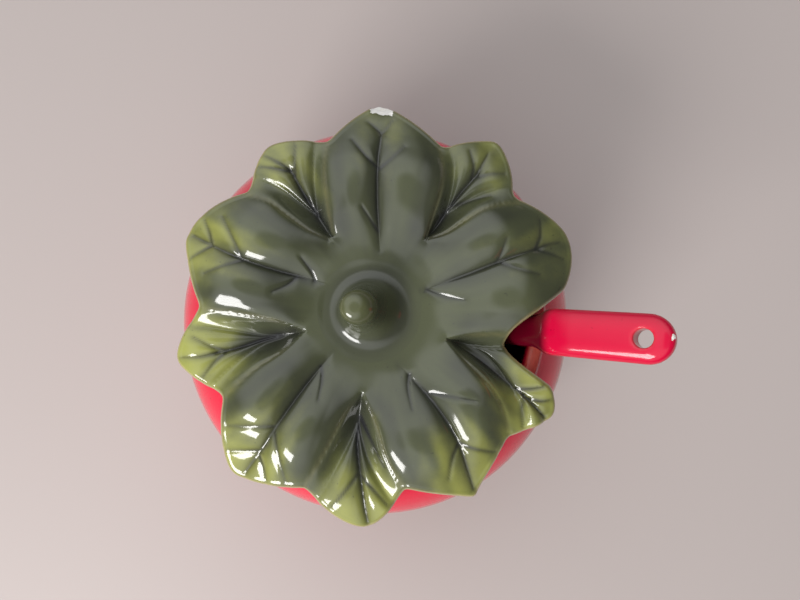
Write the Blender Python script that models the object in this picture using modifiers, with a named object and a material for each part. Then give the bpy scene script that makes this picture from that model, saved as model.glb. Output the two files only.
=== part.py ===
# Covered condiment jar: a round glazed jar body, a leaf-shaped lid with a stem knob,
# and a ladle whose handle leaves the jar through a notch in the lid.
# Units are metres, +Z is up. The origin is the centre of the flat foot, on the jar's axis,
# and the ladle lies in the plane Y = 0 with its handle towards +X.
import math

import bmesh
import bpy
import numpy as np

# Jar body
BODY_RADIUS = 0.0560        # widest radius
BODY_HALF_HEIGHT = 0.0462   # vertical half axis of the round side
FOOT_SINK = 0.0052          # how much of the round side the foot cuts away
WALL = 0.0040
FOOT_RADIUS = 0.0285
FOOT_HEIGHT = 0.0015
FLOOR_THICKNESS = 0.0050
MOUTH_RADIUS = 0.0390
LIP_HEIGHT = 0.0016         # rounded lip above the neck

# Lid
LID_GAP = 0.0004            # between the lid's lowest leaves and the lip
LID_THICKNESS = 0.0038
LID_EDGE_ROUND = 0.0009     # how far the rounding of the lid's edge reaches down and up
LID_EDGE_UNDERCUT = 0.0014
DISH_RADIUS = 0.0120        # flat middle of the lid
DISH_RISE = 0.0008          # middle of the lid above its lowest leaf floor
LEAF_CREST = 0.0042         # broad leaves above the lowest leaf floor
CREST_INSET = 0.0080        # from the mouth's radius in to the crests
LEAF_DROOP = 0.0055         # fall from a crest to a leaf tip
SMALL_DROOP = 0.0024
DROOP_START = 0.0050        # inside the neck's radius
DROOP_END = 0.0130          # outside the mouth's radius
DROOP_CURVE = 1.3
FLANGE_CLEARANCE = 0.0006   # radial play between the flange and the mouth
FLANGE_WIDTH = 0.0036
FLANGE_DEPTH = 0.0047       # below the lip
FLANGE_DRAFT = 0.0002
KNOB_HEIGHT = 0.0170
KNOB_BASE_RADIUS = 0.0080
KNOB_TOP_RADIUS = 0.0039
KNOB_LEAN = (-0.0030, -0.0004)   # shift of the knob's tip from its root
KNOB_ROOT = (-0.0016, 0.0011)
KNOB_SINK = 0.0004          # root of the knob below the dish
# Knob from its tip to its root: shares of the top radius and of the height
KNOB_SHAPE = ((0.55, 0.975), (1.0, 0.88), (1.08, 0.74), (1.2, 0.5), (1.45, 0.25), (1.8, 0.08))

# Ladle
SHANK_SLOPE = 63.0          # degrees above the horizontal
SHANK_WIDTH = 0.0078
SHANK_THICKNESS = 0.0048
SHANK_GAP = 0.0006          # between the shank and the jar's lip
HANDLE_SLOPE = 36.0
HANDLE_WIDTH = 0.0103
HANDLE_THICKNESS = 0.0058
HANDLE_LENGTH = 0.0255      # from the bend to the round end
BEND_ABOVE_LIP = 0.0118
BEND_ROUND = 0.0055         # from the corner of the bend to where its curve starts and ends
HANG_HOLE_RADIUS = 0.0021
HANG_HOLE_INSET = 0.0072    # from the handle's end
BOWL_RADIUS = 0.0172
BOWL_DEPTH = 0.0150
BOWL_WALL = 0.0028
BOWL_FLOOR_GAP = 0.0005
BOWL_JOIN = 0.0010          # how far the shank sinks below the bowl's rim

# Notch in the lid for the ladle
NOTCH_GAP = 0.0005          # between the notch's root and the shank
NOTCH_FLARE_BACK = 0.0056   # how far the notch opens past the handle's sides
NOTCH_FLARE_FRONT = 0.0079
NOTCH_OVERHANG = 0.0075     # the notch's mouth outside the jar's mouth
NOTCH_MIDDLE_ANGLE = -3.8
NOTCH_BACK_CURVE = 1.9      # how gently each side leaves the root
NOTCH_FRONT_CURVE = 2.8

# Mesh density
SCREW_STEPS = 64
BOWL_STEPS = 32
SPOKES = 100
SECTION_POINTS = 20

COLLECTION_NAME = "covered_condiment_jar"

# Places that follow from the sizes above
BODY_MID_HEIGHT = BODY_HALF_HEIGHT - FOOT_SINK
NECK_RADIUS = MOUTH_RADIUS + WALL
NECK_ANGLE = math.acos(NECK_RADIUS / BODY_RADIUS)
NECK_HEIGHT = BODY_MID_HEIGHT + BODY_HALF_HEIGHT * math.sin(NECK_ANGLE)
LIP_TOP = NECK_HEIGHT + LIP_HEIGHT
LEAF_FLOOR = LIP_TOP + LID_GAP + LID_THICKNESS   # top face of the lowest leaves over the lip
DISH_TOP = LEAF_FLOOR + DISH_RISE


def shank_centre_x(height):
    """Where the middle of the shank is at a height: it just clears the jar's lip."""
    lean = 1.0 / math.tan(math.radians(SHANK_SLOPE))
    half = SHANK_THICKNESS / 2 / math.sin(math.radians(SHANK_SLOPE))
    return MOUTH_RADIUS - SHANK_GAP - half + (height - LIP_TOP + LIP_HEIGHT / 2) * lean


def shank_inner_x(height):
    return shank_centre_x(height) - SHANK_THICKNESS / 2 / math.sin(math.radians(SHANK_SLOPE))


NOTCH_ROOT = shank_inner_x(LIP_TOP + LID_GAP) - NOTCH_GAP
NOTCH_MOUTH = MOUTH_RADIUS + NOTCH_OVERHANG
NOTCH_BACK_ANGLE = math.degrees(math.asin((HANDLE_WIDTH / 2 + NOTCH_FLARE_BACK) / NOTCH_MOUTH))
NOTCH_FRONT_ANGLE = -math.degrees(math.asin((HANDLE_WIDTH / 2 + NOTCH_FLARE_FRONT) / NOTCH_MOUTH))

# One row per leaf, counter-clockwise from the notch: the angle in degrees of its tip and how far
# that reaches past the jar's mouth, how full its outline is, whether it is a broad leaf, and the
# angle and reach of the cleft that follows it.
BROAD = True
LEAVES = (
    (28.5, 0.0135, 1.5, BROAD, 46.4, 0.0062),
    (61.0, 0.0148, 1.1, not BROAD, 74.0, 0.0059),
    (94.7, 0.0150, 0.9, BROAD, 111.2, 0.0054),
    (128.0, 0.0109, 1.1, not BROAD, 141.6, 0.0043),
    (163.5, 0.0119, 1.1, BROAD, 182.5, 0.0032),
    (198.3, 0.0103, 1.0, not BROAD, 214.0, 0.0024),
    (233.8, 0.0126, 1.1, BROAD, 253.5, 0.0054),
    (272.8, 0.0123, 1.1, not BROAD, 285.5, 0.0029),
    (304.5, 0.0117, 0.8, BROAD, 322.5, 0.0041),
    (336.0, 0.0107, 1.1, not BROAD, 360.0 + NOTCH_FRONT_ANGLE, NOTCH_OVERHANG),
)
# Where each small leaf's folds start, in the same order: angle, and distance from the axis as a
# share of the mouth's radius
FOLD_STARTS = ((62.6, 0.57), (124.4, 0.54), (197.5, 0.47), (266.2, 0.49), (346.6, 0.48))
FOLD_SOFTNESS = 0.0026
LAST_FOLD_TURN = 14.0       # degrees that the last small leaf's second fold ends past the notch's front side


def remove_everything():
    for obj in list(bpy.data.objects):
        bpy.data.objects.remove(obj, do_unlink=True)


def make_collection(name):
    collection = bpy.data.collections.new(name)
    bpy.context.scene.collection.children.link(collection)
    return collection


def make_material(name, colour, roughness, metallic=0.0):
    material = bpy.data.materials.new(name)
    material.use_nodes = True
    shader = material.node_tree.nodes["Principled BSDF"]
    shader.inputs["Base Color"].default_value = (*colour, 1.0)
    shader.inputs["Roughness"].default_value = roughness
    shader.inputs["Metallic"].default_value = metallic
    return material


def add_object(name, mesh, collection, material=None):
    obj = bpy.data.objects.new(name, mesh)
    collection.objects.link(obj)
    if material:
        mesh.materials.append(material)
        mesh.shade_smooth()
        mesh.set_sharp_from_angle(angle=math.radians(40))
    return obj


def arc(centre, radii, start_deg, end_deg, count):
    """Points on an ellipse from one angle to another, both ends included."""
    angles = np.radians(np.linspace(start_deg, end_deg, count))
    return [(centre[0] + radii[0] * math.cos(a), centre[1] + radii[1] * math.sin(a)) for a in angles]


def turned_object(name, profile, collection, material=None):
    """Turn an (x, z) profile about the Z axis with a Screw modifier."""
    mesh = bpy.data.meshes.new(name)
    points = [(x, 0.0, z) for x, z in profile]
    mesh.from_pydata(points, [(i, i + 1) for i in range(len(points) - 1)], [])
    obj = add_object(name, mesh, collection, material)
    screw = obj.modifiers.new("turn", "SCREW")
    screw.steps = SCREW_STEPS
    screw.render_steps = SCREW_STEPS
    screw.use_merge_vertices = True
    screw.merge_threshold = 0.00001
    return obj


def loft(name, rings, collection, material):
    """Skin closed rings of equal count, capping both ends with a fan to a middle point."""
    count = len(rings[0])
    build = bmesh.new()
    rows = [[build.verts.new(point) for point in ring] for ring in rings]
    for low, high in zip(rows, rows[1:]):
        for i in range(count):
            j = (i + 1) % count
            build.faces.new((low[i], low[j], high[j], high[i]))
    for row, turn in ((rows[0], -1), (rows[-1], 1)):
        middle = build.verts.new(sum((v.co for v in row), row[0].co * 0) / count)
        for i in range(count):
            ends = (row[i], row[(i + 1) % count])
            build.faces.new((*ends[::turn], middle))
    bmesh.ops.recalc_face_normals(build, faces=build.faces)
    mesh = bpy.data.meshes.new(name)
    build.to_mesh(mesh)
    build.free()
    return add_object(name, mesh, collection, material)


def smooth_step(low, high, value):
    t = np.clip((value - low) / (high - low), 0.0, 1.0)
    return t * t * (3.0 - 2.0 * t)


# Jar body -----------------------------------------------------------------------------

def body_profile():
    """Inner floor to lip, then down the outside to the foot and in to the axis."""
    inner_radius = BODY_RADIUS - WALL
    inner_half = BODY_HALF_HEIGHT - WALL
    floor_angle = math.degrees(math.asin((FLOOR_THICKNESS - BODY_MID_HEIGHT) / inner_half))
    mouth_angle = math.degrees(math.acos(MOUTH_RADIUS / inner_radius))
    centre = (0.0, BODY_MID_HEIGHT)
    inside = arc(centre, (inner_radius, inner_half), floor_angle, mouth_angle, 10)
    lip = arc((MOUTH_RADIUS + WALL / 2, NECK_HEIGHT), (WALL / 2, LIP_HEIGHT), 180, 0, 6)
    foot_angle = -math.degrees(math.asin((BODY_MID_HEIGHT - FOOT_HEIGHT) / BODY_HALF_HEIGHT))
    outside = arc(centre, (BODY_RADIUS, BODY_HALF_HEIGHT), math.degrees(NECK_ANGLE), foot_angle, 15)
    foot = [(FOOT_RADIUS, FOOT_HEIGHT), (FOOT_RADIUS, 0.0), (0.0, 0.0)]
    outside = [point for point in outside if point[0] > FOOT_RADIUS + 0.0002]
    return [(0.0, FLOOR_THICKNESS)] + inside + lip + outside[1:] + foot


# Lid ----------------------------------------------------------------------------------

def outline_reach(angle):
    """Distance from the axis to the lid's edge at an angle in degrees."""
    angle = (angle - NOTCH_FRONT_ANGLE) % 360.0 + NOTCH_FRONT_ANGLE
    if angle < NOTCH_BACK_ANGLE:
        back = angle > NOTCH_MIDDLE_ANGLE
        side_angle = NOTCH_BACK_ANGLE if back else NOTCH_FRONT_ANGLE
        share = (angle - NOTCH_MIDDLE_ANGLE) / (side_angle - NOTCH_MIDDLE_ANGLE)
        curve = NOTCH_BACK_CURVE if back else NOTCH_FRONT_CURVE
        return NOTCH_ROOT + (NOTCH_MOUTH - NOTCH_ROOT) * share ** curve
    cleft = (NOTCH_BACK_ANGLE, NOTCH_OVERHANG)
    for tip_angle, tip_reach, fullness, _broad, next_angle, next_reach in LEAVES:
        side_angle, side_reach = cleft if angle <= tip_angle else (next_angle, next_reach)
        if angle <= next_angle:
            share = (angle - tip_angle) / (side_angle - tip_angle)
            return MOUTH_RADIUS + side_reach + (tip_reach - side_reach) * (1.0 - share ** fullness)
        cleft = (next_angle, next_reach)
    return NOTCH_MOUTH


def polar(angle_deg, reach):
    return np.array((reach * math.cos(math.radians(angle_deg)), reach * math.sin(math.radians(angle_deg))))


def small_leaf_share(x, y):
    """1 on a small leaf, 0 on a broad leaf, with a soft fold between them."""
    share = np.zeros_like(x)
    small = [i for i, leaf in enumerate(LEAVES) if not leaf[3]]
    for leaf_index, (fold_angle, fold_share) in zip(small, FOLD_STARTS):
        before, leaf = LEAVES[leaf_index - 1], LEAVES[leaf_index]
        after = leaf[4] + (LAST_FOLD_TURN if leaf is LEAVES[-1] else 0.0)
        root = polar(fold_angle, fold_share * MOUTH_RADIUS)
        inside = np.full_like(x, 1.0)
        for angle, reach, side in ((before[4], before[5], 1.0), (after, leaf[5], -1.0)):
            along = polar(angle, MOUTH_RADIUS + reach) - root
            along /= np.linalg.norm(along)
            inside = np.minimum(inside, side * (along[0] * (y - root[1]) - along[1] * (x - root[0])))
        share = np.maximum(share, smooth_step(-FOLD_SOFTNESS * 0.4, FOLD_SOFTNESS, inside))
    return share


def lid_top(x, y):
    """Height of the lid's upper face: a dish that rises to the crests and droops past the lip."""
    distance = np.hypot(x, y)
    droop_end = MOUTH_RADIUS + DROOP_END
    rise = smooth_step(DISH_RADIUS, MOUTH_RADIUS - CREST_INSET, distance)
    fall = smooth_step(NECK_RADIUS - DROOP_START, droop_end, distance) ** DROOP_CURVE
    small_fall = smooth_step(NECK_RADIUS, droop_end, distance)
    broad = DISH_TOP + (LEAF_CREST - DISH_RISE) * rise - LEAF_DROOP * fall
    small = DISH_TOP - DISH_RISE * rise - SMALL_DROOP * small_fall
    share = small_leaf_share(x, y)
    return broad * (1.0 - share) + small * share


def knob_rings():
    """Rings from the knob's tip down to its root, leaning with its height."""
    rings = [(KNOB_TOP_RADIUS * width, KNOB_HEIGHT * height) for width, height in KNOB_SHAPE]
    rings.append((KNOB_BASE_RADIUS, 0.0))
    result = []
    for radius, height in rings:
        lean = height / KNOB_HEIGHT
        x = KNOB_ROOT[0] + KNOB_LEAN[0] * lean
        y = KNOB_ROOT[1] + KNOB_LEAN[1] * lean
        result.append((x, y, radius, DISH_TOP - KNOB_SINK + height))
    return result


def make_lid(collection, material):
    angles = np.linspace(-180.0, 180.0, SPOKES, endpoint=False)
    reach = np.array([outline_reach(a) for a in angles])
    direction = np.stack((np.cos(np.radians(angles)), np.sin(np.radians(angles))), axis=1)
    flange_outer = MOUTH_RADIUS - FLANGE_CLEARANCE
    flange_inner = flange_outer - FLANGE_WIDTH
    undercut = reach - LID_EDGE_UNDERCUT
    # a spoke that ends in the notch has its rings drawn in, and no flange
    squeeze = np.minimum(1.0, undercut / (flange_outer + 2 * FLANGE_DRAFT))
    has_flange = squeeze == 1.0

    def sheet_ring(radius, drop):
        xy = direction * radius[:, None]
        z = lid_top(xy[:, 0], xy[:, 1]) - drop
        return np.column_stack((xy, z))

    rings = []
    for x, y, radius, z in knob_rings():
        rings.append(np.column_stack((direction * radius + (x, y), np.full(SPOKES, z))))
    sheet_edge = (flange_outer - LID_EDGE_UNDERCUT) * squeeze
    for share in np.linspace(DISH_RADIUS / flange_outer, 1.0, 7):
        rings.append(sheet_ring(sheet_edge * share, 0.0))
    for share in (0.35, 0.65, 0.88):
        rings.append(sheet_ring(sheet_edge + (reach - sheet_edge) * share, 0.0))
    rings.append(sheet_ring(reach, LID_EDGE_ROUND))
    rings.append(sheet_ring(reach - LID_EDGE_ROUND / 3, LID_THICKNESS - LID_EDGE_ROUND))
    rings.append(sheet_ring(undercut, LID_THICKNESS))
    inner_stop = (flange_outer + FLANGE_DRAFT) * squeeze
    rings.append(sheet_ring((inner_stop + undercut) / 2, LID_THICKNESS))
    rings.append(sheet_ring(inner_stop, LID_THICKNESS))
    for radius in (flange_outer, flange_inner):
        ring = sheet_ring(radius * squeeze, LID_THICKNESS)
        ring[:, 2] = np.where(has_flange, LIP_TOP - FLANGE_DEPTH, ring[:, 2])
        rings.append(ring)
    for radius in np.linspace(flange_inner - FLANGE_DRAFT, KNOB_BASE_RADIUS, 5):
        rings.append(sheet_ring(radius * squeeze, LID_THICKNESS))
    return loft("lid", rings, collection, material)


# Ladle --------------------------------------------------------------------------------

def superellipse(count, power=2.6):
    angles = np.linspace(0.0, 2.0 * math.pi, count, endpoint=False)
    cosine, sine = np.cos(angles), np.sin(angles)
    return (np.sign(cosine) * np.abs(cosine) ** (2 / power), np.sign(sine) * np.abs(sine) ** (2 / power))


def ladle_frame():
    """Centre line stations: x, z, slope in degrees, and 0 on the shank to 1 on the handle."""
    steep, gentle = math.radians(SHANK_SLOPE), math.radians(HANDLE_SLOPE)
    bend_z = LIP_TOP + BEND_ABOVE_LIP
    bend_x = shank_centre_x(bend_z)
    bowl_top = FLOOR_THICKNESS + BOWL_FLOOR_GAP + BOWL_DEPTH
    stations = []
    low_z = bowl_top - BOWL_JOIN
    shank_end = bend_z - BEND_ROUND * math.sin(steep)
    for share in np.linspace(0.0, 1.0, 5):
        z = low_z + (shank_end - low_z) * share
        stations.append((shank_centre_x(z), z, SHANK_SLOPE, 0.0))
    start = np.array(stations[-1][:2])
    corner = np.array((bend_x, bend_z))
    along = np.array((math.cos(gentle), math.sin(gentle)))
    finish = corner + BEND_ROUND * along
    for t in (0.2, 0.4, 0.6, 0.8, 1.0):
        point = (1 - t) ** 2 * start + 2 * t * (1 - t) * corner + t * t * finish
        stations.append((*point, SHANK_SLOPE + (HANDLE_SLOPE - SHANK_SLOPE) * t, t))
    straight = along * (HANDLE_LENGTH - BEND_ROUND - HANDLE_WIDTH / 2)
    for share in (0.3, 0.65, 1.0):
        stations.append((*(finish + straight * share), HANDLE_SLOPE, 1.0))
    return stations, finish + straight, along


def section(x, z, slope, width, thickness):
    across, up = superellipse(SECTION_POINTS)
    tilt = math.radians(slope)
    offset = up * thickness / 2
    return np.column_stack((x - offset * math.sin(tilt), across * width / 2, z + offset * math.cos(tilt)))


def make_ladle(collection, cutters, material):
    stations, nose_start, along = ladle_frame()
    rings = []
    for x, z, slope, t in stations:
        width = SHANK_WIDTH + (HANDLE_WIDTH - SHANK_WIDTH) * t
        thickness = SHANK_THICKNESS + (HANDLE_THICKNESS - SHANK_THICKNESS) * t
        rings.append(section(x, z, slope, width, thickness))
    for angle in (22, 42, 60, 76):
        out = HANDLE_WIDTH / 2 * math.sin(math.radians(angle))
        shrink = math.cos(math.radians(angle))
        x, z = nose_start + along * out
        rings.append(section(x, z, HANDLE_SLOPE, HANDLE_WIDTH * shrink, HANDLE_THICKNESS * shrink ** 0.5))
    ladle = loft("ladle", rings, collection, material)

    # the bowl: a turned cup whose rim meets the foot of the shank
    rim_z = FLOOR_THICKNESS + BOWL_FLOOR_GAP + BOWL_DEPTH
    bowl_x = shank_centre_x(rim_z) - BOWL_RADIUS + BOWL_WALL * 0.6   # the shank meets the wall
    inner_radius, inner_depth = BOWL_RADIUS - BOWL_WALL, BOWL_DEPTH - BOWL_WALL
    inside = arc((0.0, 0.0), (inner_radius, inner_depth), 270, 360, 9)
    lip = arc((BOWL_RADIUS - BOWL_WALL / 2, 0.0), (BOWL_WALL / 2, BOWL_WALL / 2), 180, 0, 5)
    outside = arc((0.0, 0.0), (BOWL_RADIUS, BOWL_DEPTH), 0, -90, 10)
    profile = [(0.0, -inner_depth)] + inside[1:] + lip[1:-1] + outside[:-1] + [(0.0, -BOWL_DEPTH)]
    bowl = turned_object("bowl_shape", profile, cutters)
    bowl.location = (bowl_x, 0.0, rim_z)
    bowl.modifiers["turn"].steps = BOWL_STEPS
    bowl.modifiers["turn"].render_steps = BOWL_STEPS

    # the hanging hole goes square through the handle
    hole_at = nose_start + along * (HANDLE_WIDTH / 2 - HANG_HOLE_INSET)
    bpy.ops.mesh.primitive_cylinder_add(
        vertices=20, radius=HANG_HOLE_RADIUS, depth=HANDLE_THICKNESS * 3,
        location=(hole_at[0], 0.0, hole_at[1]), rotation=(0.0, -math.radians(HANDLE_SLOPE), 0.0))
    hole = bpy.context.object
    hole.name = "hang_hole_cutter"
    for collection_in in list(hole.users_collection):
        collection_in.objects.unlink(hole)
    cutters.objects.link(hole)

    for tool, operation in ((bowl, "UNION"), (hole, "DIFFERENCE")):
        cut = ladle.modifiers.new(operation.lower(), "BOOLEAN")
        cut.operation = operation
        cut.solver = "EXACT"
        cut.object = tool
        tool.hide_render = True
        tool.display_type = "WIRE"
    return ladle


def main():
    remove_everything()
    collection = make_collection(COLLECTION_NAME)
    cutters = make_collection("cutters")
    body_red = make_material("body_glaze", (0.62, 0.012, 0.022), 0.12)
    leaf_green = make_material("leaf_glaze", (0.115, 0.135, 0.055), 0.14)
    ladle_red = make_material("ladle_glaze", (0.60, 0.006, 0.020), 0.12)
    turned_object("jar_body", body_profile(), collection, body_red)
    make_lid(collection, leaf_green)
    make_ladle(collection, cutters, ladle_red)


main()
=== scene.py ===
import math
import bmesh
import bpy
import numpy as np
from mathutils import Matrix, Vector


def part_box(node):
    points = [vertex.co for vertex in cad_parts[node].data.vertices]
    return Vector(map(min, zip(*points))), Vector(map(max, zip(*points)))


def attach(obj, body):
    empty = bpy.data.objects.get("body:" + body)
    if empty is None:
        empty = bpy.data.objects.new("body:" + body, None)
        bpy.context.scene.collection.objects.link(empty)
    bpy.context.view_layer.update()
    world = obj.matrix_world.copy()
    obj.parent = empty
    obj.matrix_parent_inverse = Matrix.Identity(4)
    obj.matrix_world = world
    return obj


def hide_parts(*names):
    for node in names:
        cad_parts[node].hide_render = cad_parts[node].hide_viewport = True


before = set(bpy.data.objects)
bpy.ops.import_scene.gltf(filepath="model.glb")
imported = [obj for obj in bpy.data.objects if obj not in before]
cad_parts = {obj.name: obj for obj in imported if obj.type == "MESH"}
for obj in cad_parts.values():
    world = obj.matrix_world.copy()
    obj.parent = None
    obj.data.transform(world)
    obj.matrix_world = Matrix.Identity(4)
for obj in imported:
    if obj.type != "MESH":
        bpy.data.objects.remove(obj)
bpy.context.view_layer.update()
mm = 0.001

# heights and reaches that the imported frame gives, in millimetres
_, bodyHigh = (np.array(corner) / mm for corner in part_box("jar_body"))
ladleLow, _ = (np.array(corner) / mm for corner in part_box("ladle"))
lipTop, bodyRadius, ladleBottom = float(bodyHigh[2]), float(bodyHigh[0]), float(ladleLow[2])
print("frame loaded, lip at", round(lipTop, 2), "mm, body radius", round(bodyRadius, 2), "mm")


# cubic ramp from 0 at low to 1 at high
def ramp(low, high, value):
    t = np.clip((value - low) / (high - low), 0, 1)
    return t * t * (3 - 2 * t)


# bell curve: 1 at no distance, and 1/e at one width
def bell(distance, width):
    return np.exp(-(distance / width) ** 2)


# cubic curve through given pairs, its slope at a pair is the mean of the two chords beside it
def curveThrough(pairs, value):
    xs, ys = np.array(pairs, float).T
    chord = np.diff(ys) / np.diff(xs)
    slope = np.concatenate((chord[:1], (chord[1:] + chord[:-1]) / 2, chord[-1:]))
    value = np.clip(value, xs[0], xs[-1])
    i = np.clip(np.searchsorted(xs, value, side="right") - 1, 0, len(xs) - 2)
    step = xs[i + 1] - xs[i]
    t = (value - xs[i]) / step
    rise = (3 - 2 * t) * t * t
    return (ys[i] * (1 - rise) + ys[i + 1] * rise
            + step * slope[i] * t * (1 - t) ** 2 - step * slope[i + 1] * t * t * (1 - t))


# point at an angle in degrees and a distance from the axis
def polar(angle, reach):
    return np.array((reach * math.cos(math.radians(angle)), reach * math.sin(math.radians(angle))))


# smooth line through polar points: a cubic in x and in y over the running length
def smoothLine(points, count=12):
    xy = np.array([polar(*point) for point in points])
    run = np.concatenate(([0], np.cumsum(np.linalg.norm(np.diff(xy, axis=0), axis=1))))
    at = np.linspace(0, run[-1], count)
    return np.stack([curveThrough(list(zip(run, xy[:, k])), at) for k in (0, 1)], axis=1)


# distance from every point to a line of short straight pieces, and the share of the line there
def nearLine(x, y, line):
    best, share = np.full(x.shape, 1e9), np.zeros(x.shape)
    pieces = len(line) - 1
    for k in range(pieces):
        a, d = line[k], line[k + 1] - line[k]
        t = np.clip(((x - a[0]) * d[0] + (y - a[1]) * d[1]) / (d @ d), 0, 1)
        far = np.hypot(x - a[0] - t * d[0], y - a[1] - t * d[1])
        share = np.where(far < best, (k + t) / pieces, share)
        best = np.minimum(far, best)
    return best, share


# sum of six sine waves in seeded directions, from 0.7 to 1.4 times as tight as one wave in the given length,
# divided so that it stays mostly between -1 and 1
def handmade(x, y, z, length, seed):
    rng = np.random.default_rng(seed)
    waves, spread = 6, 3.2
    total = np.zeros(np.broadcast(x, y, z).shape)
    for _ in range(waves):
        way = rng.normal(size=3)
        way *= 2 * math.pi / length / np.linalg.norm(way) * rng.uniform(0.7, 1.4)
        total += np.sin(way[0] * x + way[1] * y + way[2] * z + rng.uniform(0, 6.28))
    return total / spread


# puts points in mm and their marks into a new mesh object, its faces turned outwards
def newPiece(name, points, faces, marks):
    mesh = bpy.data.meshes.new(name)
    mesh.from_pydata(points * mm, [], faces)
    build = bmesh.new()
    build.from_mesh(mesh)
    bmesh.ops.recalc_face_normals(build, faces=build.faces)
    build.to_mesh(mesh)
    build.free()
    setMarks(mesh, marks)
    mesh.shade_smooth()
    piece = bpy.data.objects.new(name, mesh)
    bpy.context.scene.collection.objects.link(piece)
    return piece


# marks are numbers kept on the points, mostly from 0 to 1, which the glaze reads
# the deep-glaze mark also carries painted shade, and the yellow mark also carries painted light
markKeys = ("pool", "edge", "bare", "sun")


def setMarks(mesh, marks):
    for key, mark in marks.items():
        values = mark.reshape(-1).astype(np.float32)
        mesh.attributes.new(key, "FLOAT", "POINT").data.foreach_set("value", values)


# mesh from rings of points (ring, spoke, xyz): quads between rings, and a fan to a middle point at both ends
def ringMesh(name, rings, marks):
    ringCount, spokes, _ = rings.shape
    i = np.arange(ringCount - 1)[:, None] * spokes
    j = np.arange(spokes)[None, :]
    after = (j + 1) % spokes
    quads = np.stack((i + j, i + after, i + spokes + after, i + spokes + j), axis=-1).reshape(-1, 4)
    points = np.vstack((rings.reshape(-1, 3), rings[0].mean(axis=0), rings[-1].mean(axis=0)))
    last = (ringCount - 1) * spokes
    startFan = np.stack((after[0], j[0], np.full(spokes, len(points) - 2)), axis=-1)
    endFan = np.stack((last + j[0], last + after[0], np.full(spokes, len(points) - 1)), axis=-1)
    marks = {key: np.concatenate((mark.reshape(-1), (mark[0].mean(), mark[-1].mean())))
             for key, mark in marks.items()}
    return newPiece(name, points, quads.tolist() + startFan.tolist() + endFan.tolist(), marks)


# shader group with named sockets; gives the group, the sockets to read from and the sockets to feed
def newGroup(name, inputs, outputs):
    group = bpy.data.node_groups.new(name, "ShaderNodeTree")
    for side, sockets in (("INPUT", inputs), ("OUTPUT", outputs)):
        for label, kind in sockets:
            group.interface.new_socket(label, in_out=side, socket_type="NodeSocket" + kind)
    return group, group.nodes.new("NodeGroupInput").outputs, group.nodes.new("NodeGroupOutput").inputs


# math node: one number from two
def calc(tree, operation, first, second=None, clamp=False):
    node = tree.nodes.new("ShaderNodeMath")
    node.operation = operation
    node.use_clamp = clamp
    for socket, value in zip(node.inputs, (first, second)):
        if isinstance(value, (int, float)):
            socket.default_value = value
        elif value is not None:
            tree.links.new(value, socket)
    return node.outputs[0]


# mix node for colours, or for numbers when both ends are numbers
def mix(tree, share, first, second, kind="RGBA"):
    node = tree.nodes.new("ShaderNodeMix")
    node.data_type = kind
    ends = (6, 7) if kind == "RGBA" else (2, 3)
    for index, value in zip((0, *ends), (share, first, second)):
        if isinstance(value, (int, float, tuple)):
            node.inputs[index].default_value = value
        else:
            tree.links.new(value, node.inputs[index])
    return node.outputs[2 if kind == "RGBA" else 0]


# smooth step of a value between two limits
def between(tree, value, low, high):
    node = tree.nodes.new("ShaderNodeMapRange")
    node.interpolation_type = "SMOOTHSTEP"
    tree.links.new(value, node.inputs["Value"])
    node.inputs["From Min"].default_value = low
    node.inputs["From Max"].default_value = high
    return node.outputs["Result"]


# noise at a place, its scale in waves to a metre
def noiseAt(tree, place, scale, detail=2.0, rough=0.5):
    node = tree.nodes.new("ShaderNodeTexNoise")
    tree.links.new(place, node.inputs["Vector"])
    for label, value in (("Scale", scale), ("Detail", detail), ("Roughness", rough)):
        if isinstance(value, (int, float)):
            node.inputs[label].default_value = value
        else:
            tree.links.new(value, node.inputs[label])
    return node.outputs["Fac"]


# glaze tone: thick glaze in hollows is deep, and painted shade turns it deep the same way; thin glaze on
# edges shows the warm clay, with mottle and specks
def makeGlazeTone():
    group, given, result = newGroup("glazeTone", (
        ("Place", "Vector"), ("Base", "Color"), ("Deep", "Color"), ("Thin", "Color"), ("Pool And Shade", "Float"),
        ("Break", "Float"), ("Mottle Scale", "Float"), ("Mottle", "Float"), ("Specks", "Float"),
        ("Gloss", "Float"), ("Haze", "Float")),
        (("Color", "Color"), ("Roughness", "Float")))
    place = given["Place"]
    cloudMiddle, grainScale, speckScale, hazeScale = 0.47, 900, 1100, 85
    cloud = noiseAt(group, place, given["Mottle Scale"], 5, 0.62)
    shift = calc(group, "MULTIPLY", calc(group, "SUBTRACT", cloud, cloudMiddle), given["Mottle"])
    pool = calc(group, "ADD", given["Pool And Shade"], shift, clamp=True)
    tone = mix(group, pool, given["Base"], given["Deep"])
    grain = calc(group, "ADD", 0.7, calc(group, "MULTIPLY", noiseAt(group, place, grainScale, 3, 0.7), 0.6))
    worn = calc(group, "MULTIPLY", given["Break"], grain, clamp=True)
    tone = mix(group, worn, tone, given["Thin"])
    speck = between(group, noiseAt(group, place, speckScale, 1, 0.5), 0.72, 0.80)
    tone = mix(group, calc(group, "MULTIPLY", speck, given["Specks"]), tone, given["Deep"])
    group.links.new(tone, result["Color"])
    haze = calc(group, "MULTIPLY", noiseAt(group, place, hazeScale, 3, 0.6), given["Haze"])
    group.links.new(calc(group, "ADD", given["Gloss"], haze), result["Roughness"])
    return group


# glaze skin: long soft waves of the poured glaze and a finer orange peel, as a height in metres
def makeGlazeSkin():
    group, given, result = newGroup("glazeSkin", (("Place", "Vector"), ("Wave", "Float"), ("Peel", "Float")),
                                    (("Height", "Float"),))
    waveScale, peelScale = 140, 620
    wave = calc(group, "MULTIPLY", noiseAt(group, given["Place"], waveScale, 1, 0.4), given["Wave"])
    peel = calc(group, "MULTIPLY", noiseAt(group, given["Place"], peelScale, 2, 0.5), given["Peel"])
    group.links.new(calc(group, "ADD", wave, peel), result["Height"])
    return group


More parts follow.
